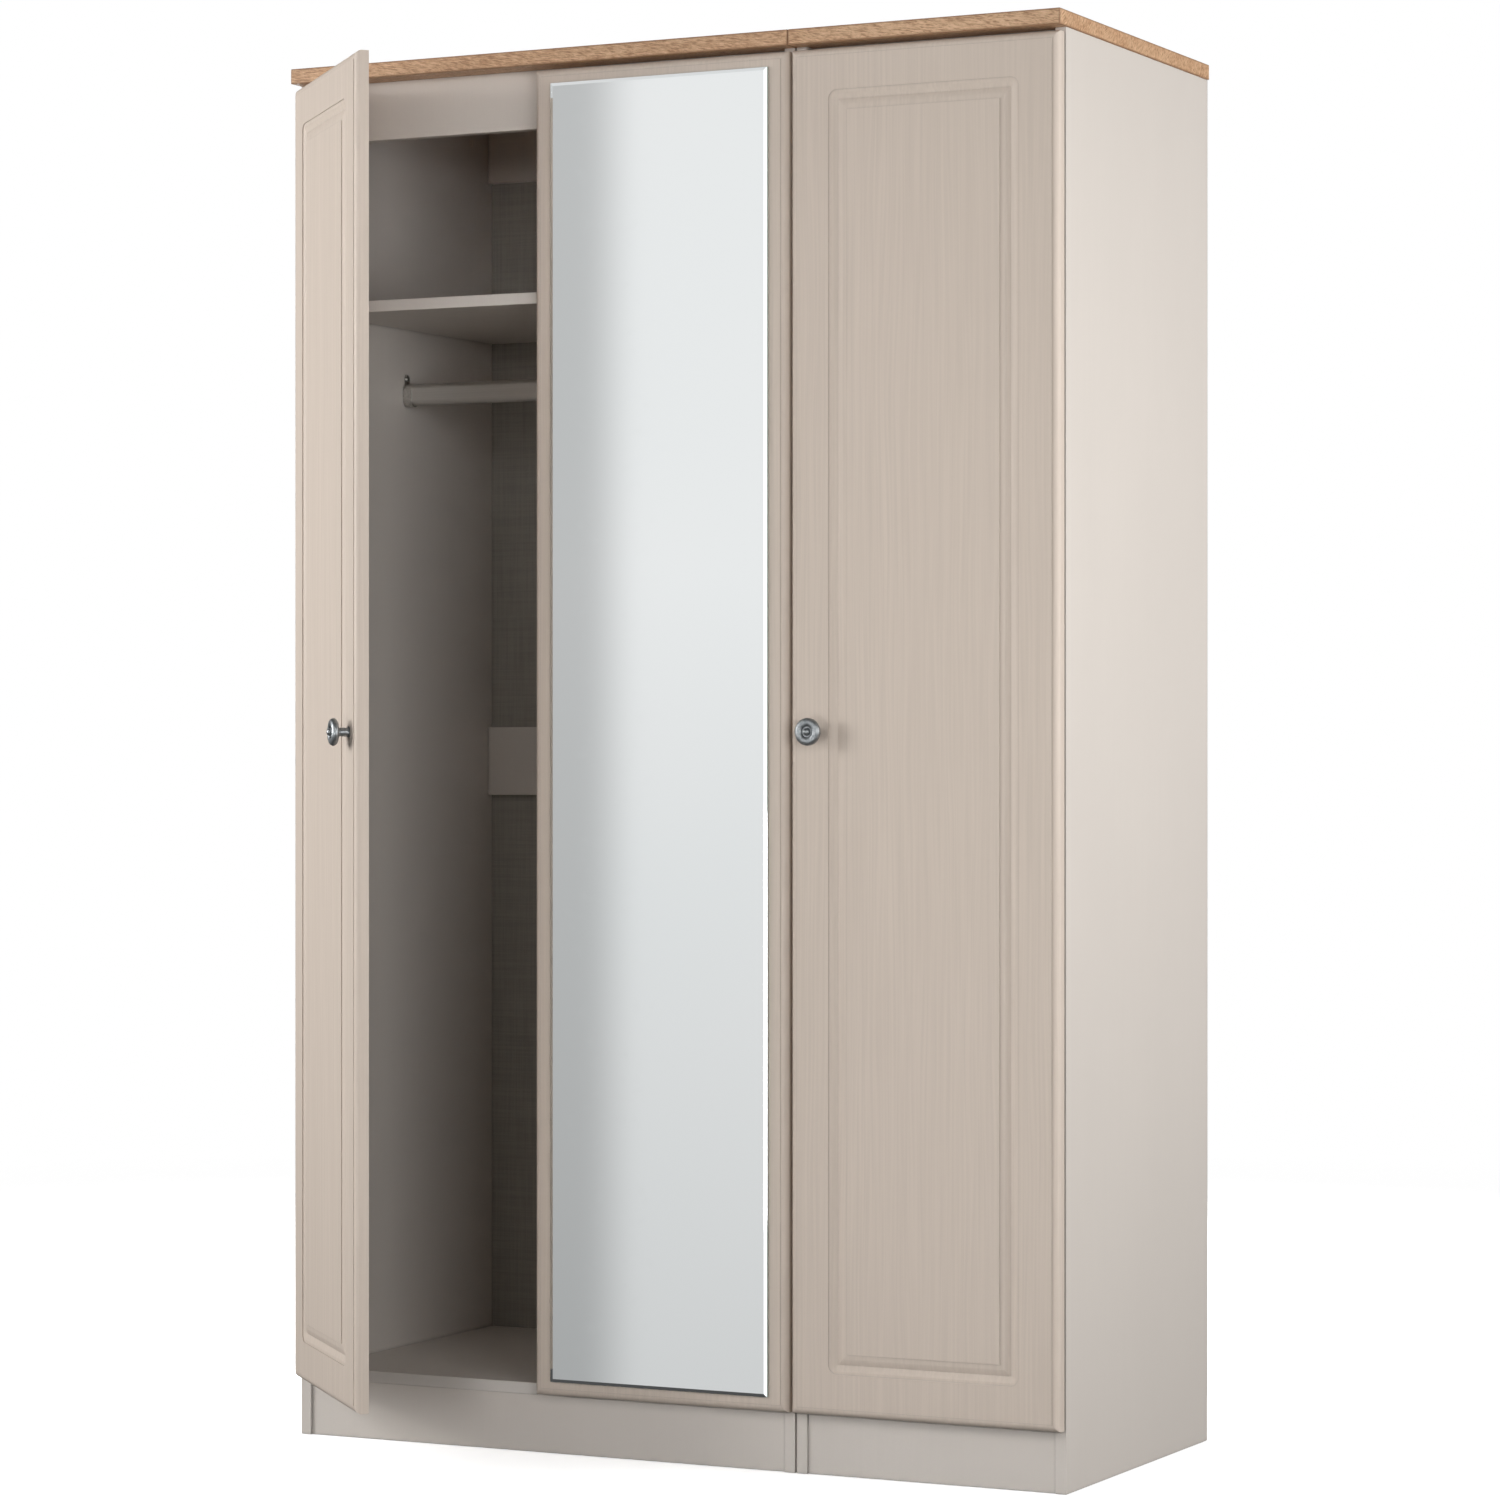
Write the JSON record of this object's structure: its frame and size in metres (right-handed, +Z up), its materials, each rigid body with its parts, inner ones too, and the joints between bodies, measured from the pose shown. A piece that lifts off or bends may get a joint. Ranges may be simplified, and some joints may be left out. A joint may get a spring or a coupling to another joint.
{
  "type": "wardrobe with doors",
  "caption": "Tall white flat-pack wardrobe with an oak-look top, framed hinged doors, a full-height mirror on the middle door and pewter knobs.",
  "frame": {"origin": "on the floor under the middle of the front plinth's thickness, at mid-width of the carcasses", "axes": "+Z up, -Y out of the doors, +X towards the single carcass"},
  "size_m": [1.11, 0.7678, 1.825],
  "materials": {
    "white_laminate": "white woodgrain laminate on particle board, satin",
    "oak_laminate": "oak-look laminate on particle board, satin",
    "back_board": "hardboard with a fine printed weave, matt",
    "mirror_glass": "silvered plate glass with a bevelled edge",
    "foam_tape": "adhesive foam tape",
    "pewter": "antique pewter, lightly mottled",
    "beech": "fluted dowel, raw",
    "nickel_steel": "nickel-plated tube, satin",
    "zinc_steel": "zinc or nickel plated"
  },
  "bodies": {
    "root": {"arm_screws": "zinc_steel", "back_nails": "zinc_steel", "bracket_screws": "zinc_steel", "cam_bolts": "zinc_steel", "cam_locks": "zinc_steel", "connector_bolts": "zinc_steel", "connector_sleeves": "zinc_steel", "double_back_panel": "back_board", "double_base": "white_laminate", "double_front_plinth": "white_laminate", "double_front_rail": "white_laminate", "double_hanging_rail": "nickel_steel", "double_left_side": "white_laminate", "double_middle_back_rail": "white_laminate", "double_rail_brackets": "nickel_steel", "double_rear_plinth": "white_laminate", "double_right_side": "white_laminate", "double_shelf": "white_laminate", "double_top_board": "oak_laminate", "double_upper_back_rail": "white_laminate", "dowels": "beech", "hinge_arms": "zinc_steel", "hinge_plates": "zinc_steel", "plate_screws": "zinc_steel", "single_back_panel": "back_board", "single_base": "white_laminate", "single_front_plinth": "white_laminate", "single_front_rail": "white_laminate", "single_hanging_rail": "nickel_steel", "single_left_side": "white_laminate", "single_middle_back_rail": "white_laminate", "single_rail_brackets": "nickel_steel", "single_rear_plinth": "white_laminate", "single_right_side": "white_laminate", "single_shelf": "white_laminate", "single_top_board": "oak_laminate", "single_upper_back_rail": "white_laminate"},
    "left_door": {"left_cup_screws": "zinc_steel", "left_door_panel": "white_laminate", "left_hinge_cups": "zinc_steel", "left_hinge_pins": "zinc_steel", "left_knob": "pewter", "left_knob_screw": "zinc_steel"},
    "mirror_door": {"mirror_cup_screws": "zinc_steel", "mirror_door_panel": "white_laminate", "mirror_glass": "mirror_glass", "mirror_hinge_cups": "zinc_steel", "mirror_hinge_pins": "zinc_steel", "mirror_pads": "foam_tape"},
    "right_door": {"right_cup_screws": "zinc_steel", "right_door_panel": "white_laminate", "right_hinge_cups": "zinc_steel", "right_hinge_pins": "zinc_steel", "right_knob": "pewter", "right_knob_screw": "zinc_steel"}
  },
  "joints": [
    {"name": "left_door_hinge", "type": "hinge", "parent": "root", "child": "left_door", "pos_m": [-0.545, -0.022, 0.9385], "axis": [0, 0, -1], "range_deg": [-45.5, 49.5]},
    {"name": "mirror_door_hinge", "type": "hinge", "parent": "root", "child": "mirror_door", "pos_m": [0.174, -0.022, 0.9385], "axis": [0, 0, 1], "range_deg": [0, 95]},
    {"name": "right_door_hinge", "type": "hinge", "parent": "root", "child": "right_door", "pos_m": [0.545, -0.022, 0.9385], "axis": [0, 0, 1], "range_deg": [0, 95]}
  ]
}
